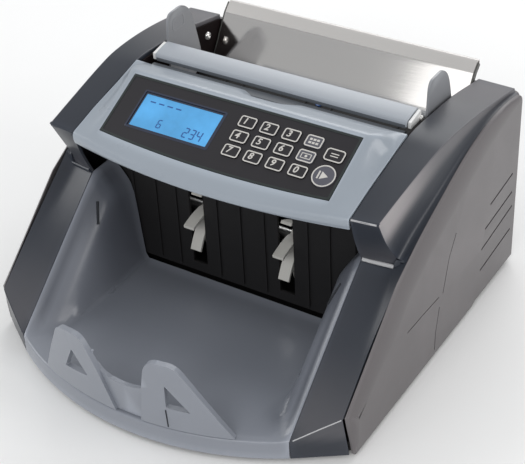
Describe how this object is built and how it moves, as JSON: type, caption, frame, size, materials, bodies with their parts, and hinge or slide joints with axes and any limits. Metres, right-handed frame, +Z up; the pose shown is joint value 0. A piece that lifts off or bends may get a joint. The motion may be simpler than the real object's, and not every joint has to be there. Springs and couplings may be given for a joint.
{
  "type": "banknote counting machine",
  "caption": "Desktop banknote counter: sloping keypad with display, rear note hopper with sliding guides, stacking pocket with curved front stop.",
  "frame": {"origin": "centre of the footprint, on the surface it stands on", "axes": "+Z up, +X to the operator's right, -Y towards the operator"},
  "size_m": [0.264, 0.2852, 0.1654],
  "materials": {
    "slate": "fine-textured dark slate moulding, semi-matt",
    "warm_grey": "warm grey moulding, soft sheen",
    "silver_blue": "silver-blue painted moulding, satin",
    "tray_grey": "light blue-grey moulding, satin",
    "overlay": "charcoal printed overlay, matt",
    "lcd": "backlit blue display window",
    "key": "charcoal key cap with a pale outline",
    "steel": "polished stainless sheet",
    "guide": "blue-grey moulding, satin",
    "dark_steel": "black-brown painted sheet steel",
    "rubber": "black rubber",
    "board": "green circuit board",
    "black": "black moulding",
    "nylon": "natural nylon",
    "zinc": "zinc-plated steel"
  },
  "bodies": {
    "housing": {"side_frame_left": "slate", "side_frame_right": "slate", "side_cover_left": "warm_grey", "side_cover_right": "warm_grey", "rear_cover": "warm_grey", "control_bezel": "silver_blue", "front_tray": "tray_grey", "note_stop": "tray_grey", "keypad_overlay": "overlay", "lcd_module": "lcd", "hopper_plate": "steel", "mech_plate_left": "dark_steel", "mech_plate_right": "dark_steel", "foot_front_left": "rubber", "foot_front_right": "rubber", "foot_rear_left": "rubber", "foot_rear_right": "rubber", "drive_belt": "rubber", "control_board": "board", "main_board": "board", "base_pan": "black", "pocket_wall": "black", "hopper_floor": "black", "power_inlet": "black", "switch_frame": "black", "fuse_holder": "black", "motor": "zinc", "power_supply": "zinc"},
    "hopper_flap": {"hopper_bar": "silver_blue"},
    "left_guide": {"note_guide_left": "guide"},
    "right_guide": {"note_guide_right": "guide"},
    "pickup_unit": {"pickup_shaft": "zinc", "pickup_roller_left": "rubber", "pickup_roller_right": "rubber", "pickup_pulley": "nylon"},
    "feed_unit": {"feed_shaft": "zinc", "feed_roller_left": "rubber", "feed_roller_right": "rubber", "feed_pulley": "nylon"},
    "stacker_unit": {"stacker_shaft": "zinc", "stacker_wheel_left": "nylon", "stacker_wheel_right": "nylon", "stacker_pulley": "nylon"},
    "motor_rotor": {"motor_shaft": "zinc", "motor_pulley": "nylon"},
    "rocker": {"switch_rocker": "black"},
    "key_0_cap": {"key_0": "key"},
    "key_1_cap": {"key_1": "key"},
    "key_2_cap": {"key_2": "key"},
    "key_3_cap": {"key_3": "key"},
    "key_4_cap": {"key_4": "key"},
    "key_5_cap": {"key_5": "key"},
    "key_6_cap": {"key_6": "key"},
    "key_7_cap": {"key_7": "key"},
    "key_8_cap": {"key_8": "key"},
    "key_9_cap": {"key_9": "key"},
    "key_clear_cap": {"key_clear": "key"},
    "key_detect_cap": {"key_detect": "key"},
    "key_mode_cap": {"key_mode": "key"},
    "key_start_cap": {"key_start": "key"}
  },
  "joints": [
    {"name": "hopper_flap_hinge", "type": "hinge", "parent": "housing", "child": "hopper_flap", "pos_m": [0, 0.05731, 0.1442], "axis": [1, 0, 0], "range_deg": [-75, 0]},
    {"name": "left_guide_slide", "type": "slide", "parent": "housing", "child": "left_guide", "axis": [1, 0, 0], "range_m": [0, 0.04]},
    {"name": "right_guide_slide", "type": "slide", "parent": "housing", "child": "right_guide", "axis": [-1, 0, 0], "range_m": [0, 0.04]},
    {"name": "stacker_turn", "type": "hinge", "parent": "housing", "child": "stacker_unit", "pos_m": [0, 0.01571, 0.058], "axis": [1, 0, 0], "continuous": true},
    {"name": "pickup_turn", "type": "hinge", "parent": "housing", "child": "pickup_unit", "pos_m": [0, 0.07771, 0.093], "axis": [1, 0, 0], "continuous": true},
    {"name": "feed_turn", "type": "hinge", "parent": "housing", "child": "feed_unit", "pos_m": [0, 0.05171, 0.084], "axis": [1, 0, 0], "continuous": true},
    {"name": "motor_turn", "type": "hinge", "parent": "housing", "child": "motor_rotor", "pos_m": [0, 0.09271, 0.04], "axis": [1, 0, 0], "continuous": true},
    {"name": "rocker_tilt", "type": "hinge", "parent": "housing", "child": "rocker", "pos_m": [-0.053, 0.13071, 0.028], "axis": [1, 0, 0], "range_deg": [-12, 0]},
    {"name": "key_0_press", "type": "slide", "parent": "housing", "child": "key_0_cap", "axis": [0, 0.4332, -0.9013], "range_m": [0, 0.0008], "stiffness_N_per_m": 600},
    {"name": "key_1_press", "type": "slide", "parent": "housing", "child": "key_1_cap", "axis": [0, 0.4332, -0.9013], "range_m": [0, 0.0008], "stiffness_N_per_m": 600},
    {"name": "key_2_press", "type": "slide", "parent": "housing", "child": "key_2_cap", "axis": [0, 0.4332, -0.9013], "range_m": [0, 0.0008], "stiffness_N_per_m": 600},
    {"name": "key_3_press", "type": "slide", "parent": "housing", "child": "key_3_cap", "axis": [0, 0.4332, -0.9013], "range_m": [0, 0.0008], "stiffness_N_per_m": 600},
    {"name": "key_4_press", "type": "slide", "parent": "housing", "child": "key_4_cap", "axis": [0, 0.4332, -0.9013], "range_m": [0, 0.0008], "stiffness_N_per_m": 600},
    {"name": "key_5_press", "type": "slide", "parent": "housing", "child": "key_5_cap", "axis": [0, 0.4332, -0.9013], "range_m": [0, 0.0008], "stiffness_N_per_m": 600},
    {"name": "key_6_press", "type": "slide", "parent": "housing", "child": "key_6_cap", "axis": [0, 0.4332, -0.9013], "range_m": [0, 0.0008], "stiffness_N_per_m": 600},
    {"name": "key_7_press", "type": "slide", "parent": "housing", "child": "key_7_cap", "axis": [0, 0.4332, -0.9013], "range_m": [0, 0.0008], "stiffness_N_per_m": 600},
    {"name": "key_8_press", "type": "slide", "parent": "housing", "child": "key_8_cap", "axis": [0, 0.4332, -0.9013], "range_m": [0, 0.0008], "stiffness_N_per_m": 600},
    {"name": "key_9_press", "type": "slide", "parent": "housing", "child": "key_9_cap", "axis": [0, 0.4332, -0.9013], "range_m": [0, 0.0008], "stiffness_N_per_m": 600},
    {"name": "key_clear_press", "type": "slide", "parent": "housing", "child": "key_clear_cap", "axis": [0, 0.4332, -0.9013], "range_m": [0, 0.0008], "stiffness_N_per_m": 600},
    {"name": "key_detect_press", "type": "slide", "parent": "housing", "child": "key_detect_cap", "axis": [0, 0.4332, -0.9013], "range_m": [0, 0.0008], "stiffness_N_per_m": 600},
    {"name": "key_mode_press", "type": "slide", "parent": "housing", "child": "key_mode_cap", "axis": [0, 0.4332, -0.9013], "range_m": [0, 0.0008], "stiffness_N_per_m": 600},
    {"name": "key_start_press", "type": "slide", "parent": "housing", "child": "key_start_cap", "axis": [0, 0.4332, -0.9013], "range_m": [0, 0.0008], "stiffness_N_per_m": 600}
  ],
  "couplings": [
    {"joint": "pickup_turn", "follows": "stacker_turn", "ratio": 1.3333},
    {"joint": "feed_turn", "follows": "stacker_turn", "ratio": 1.9277},
    {"joint": "motor_turn", "follows": "stacker_turn", "ratio": 2}
  ]
}
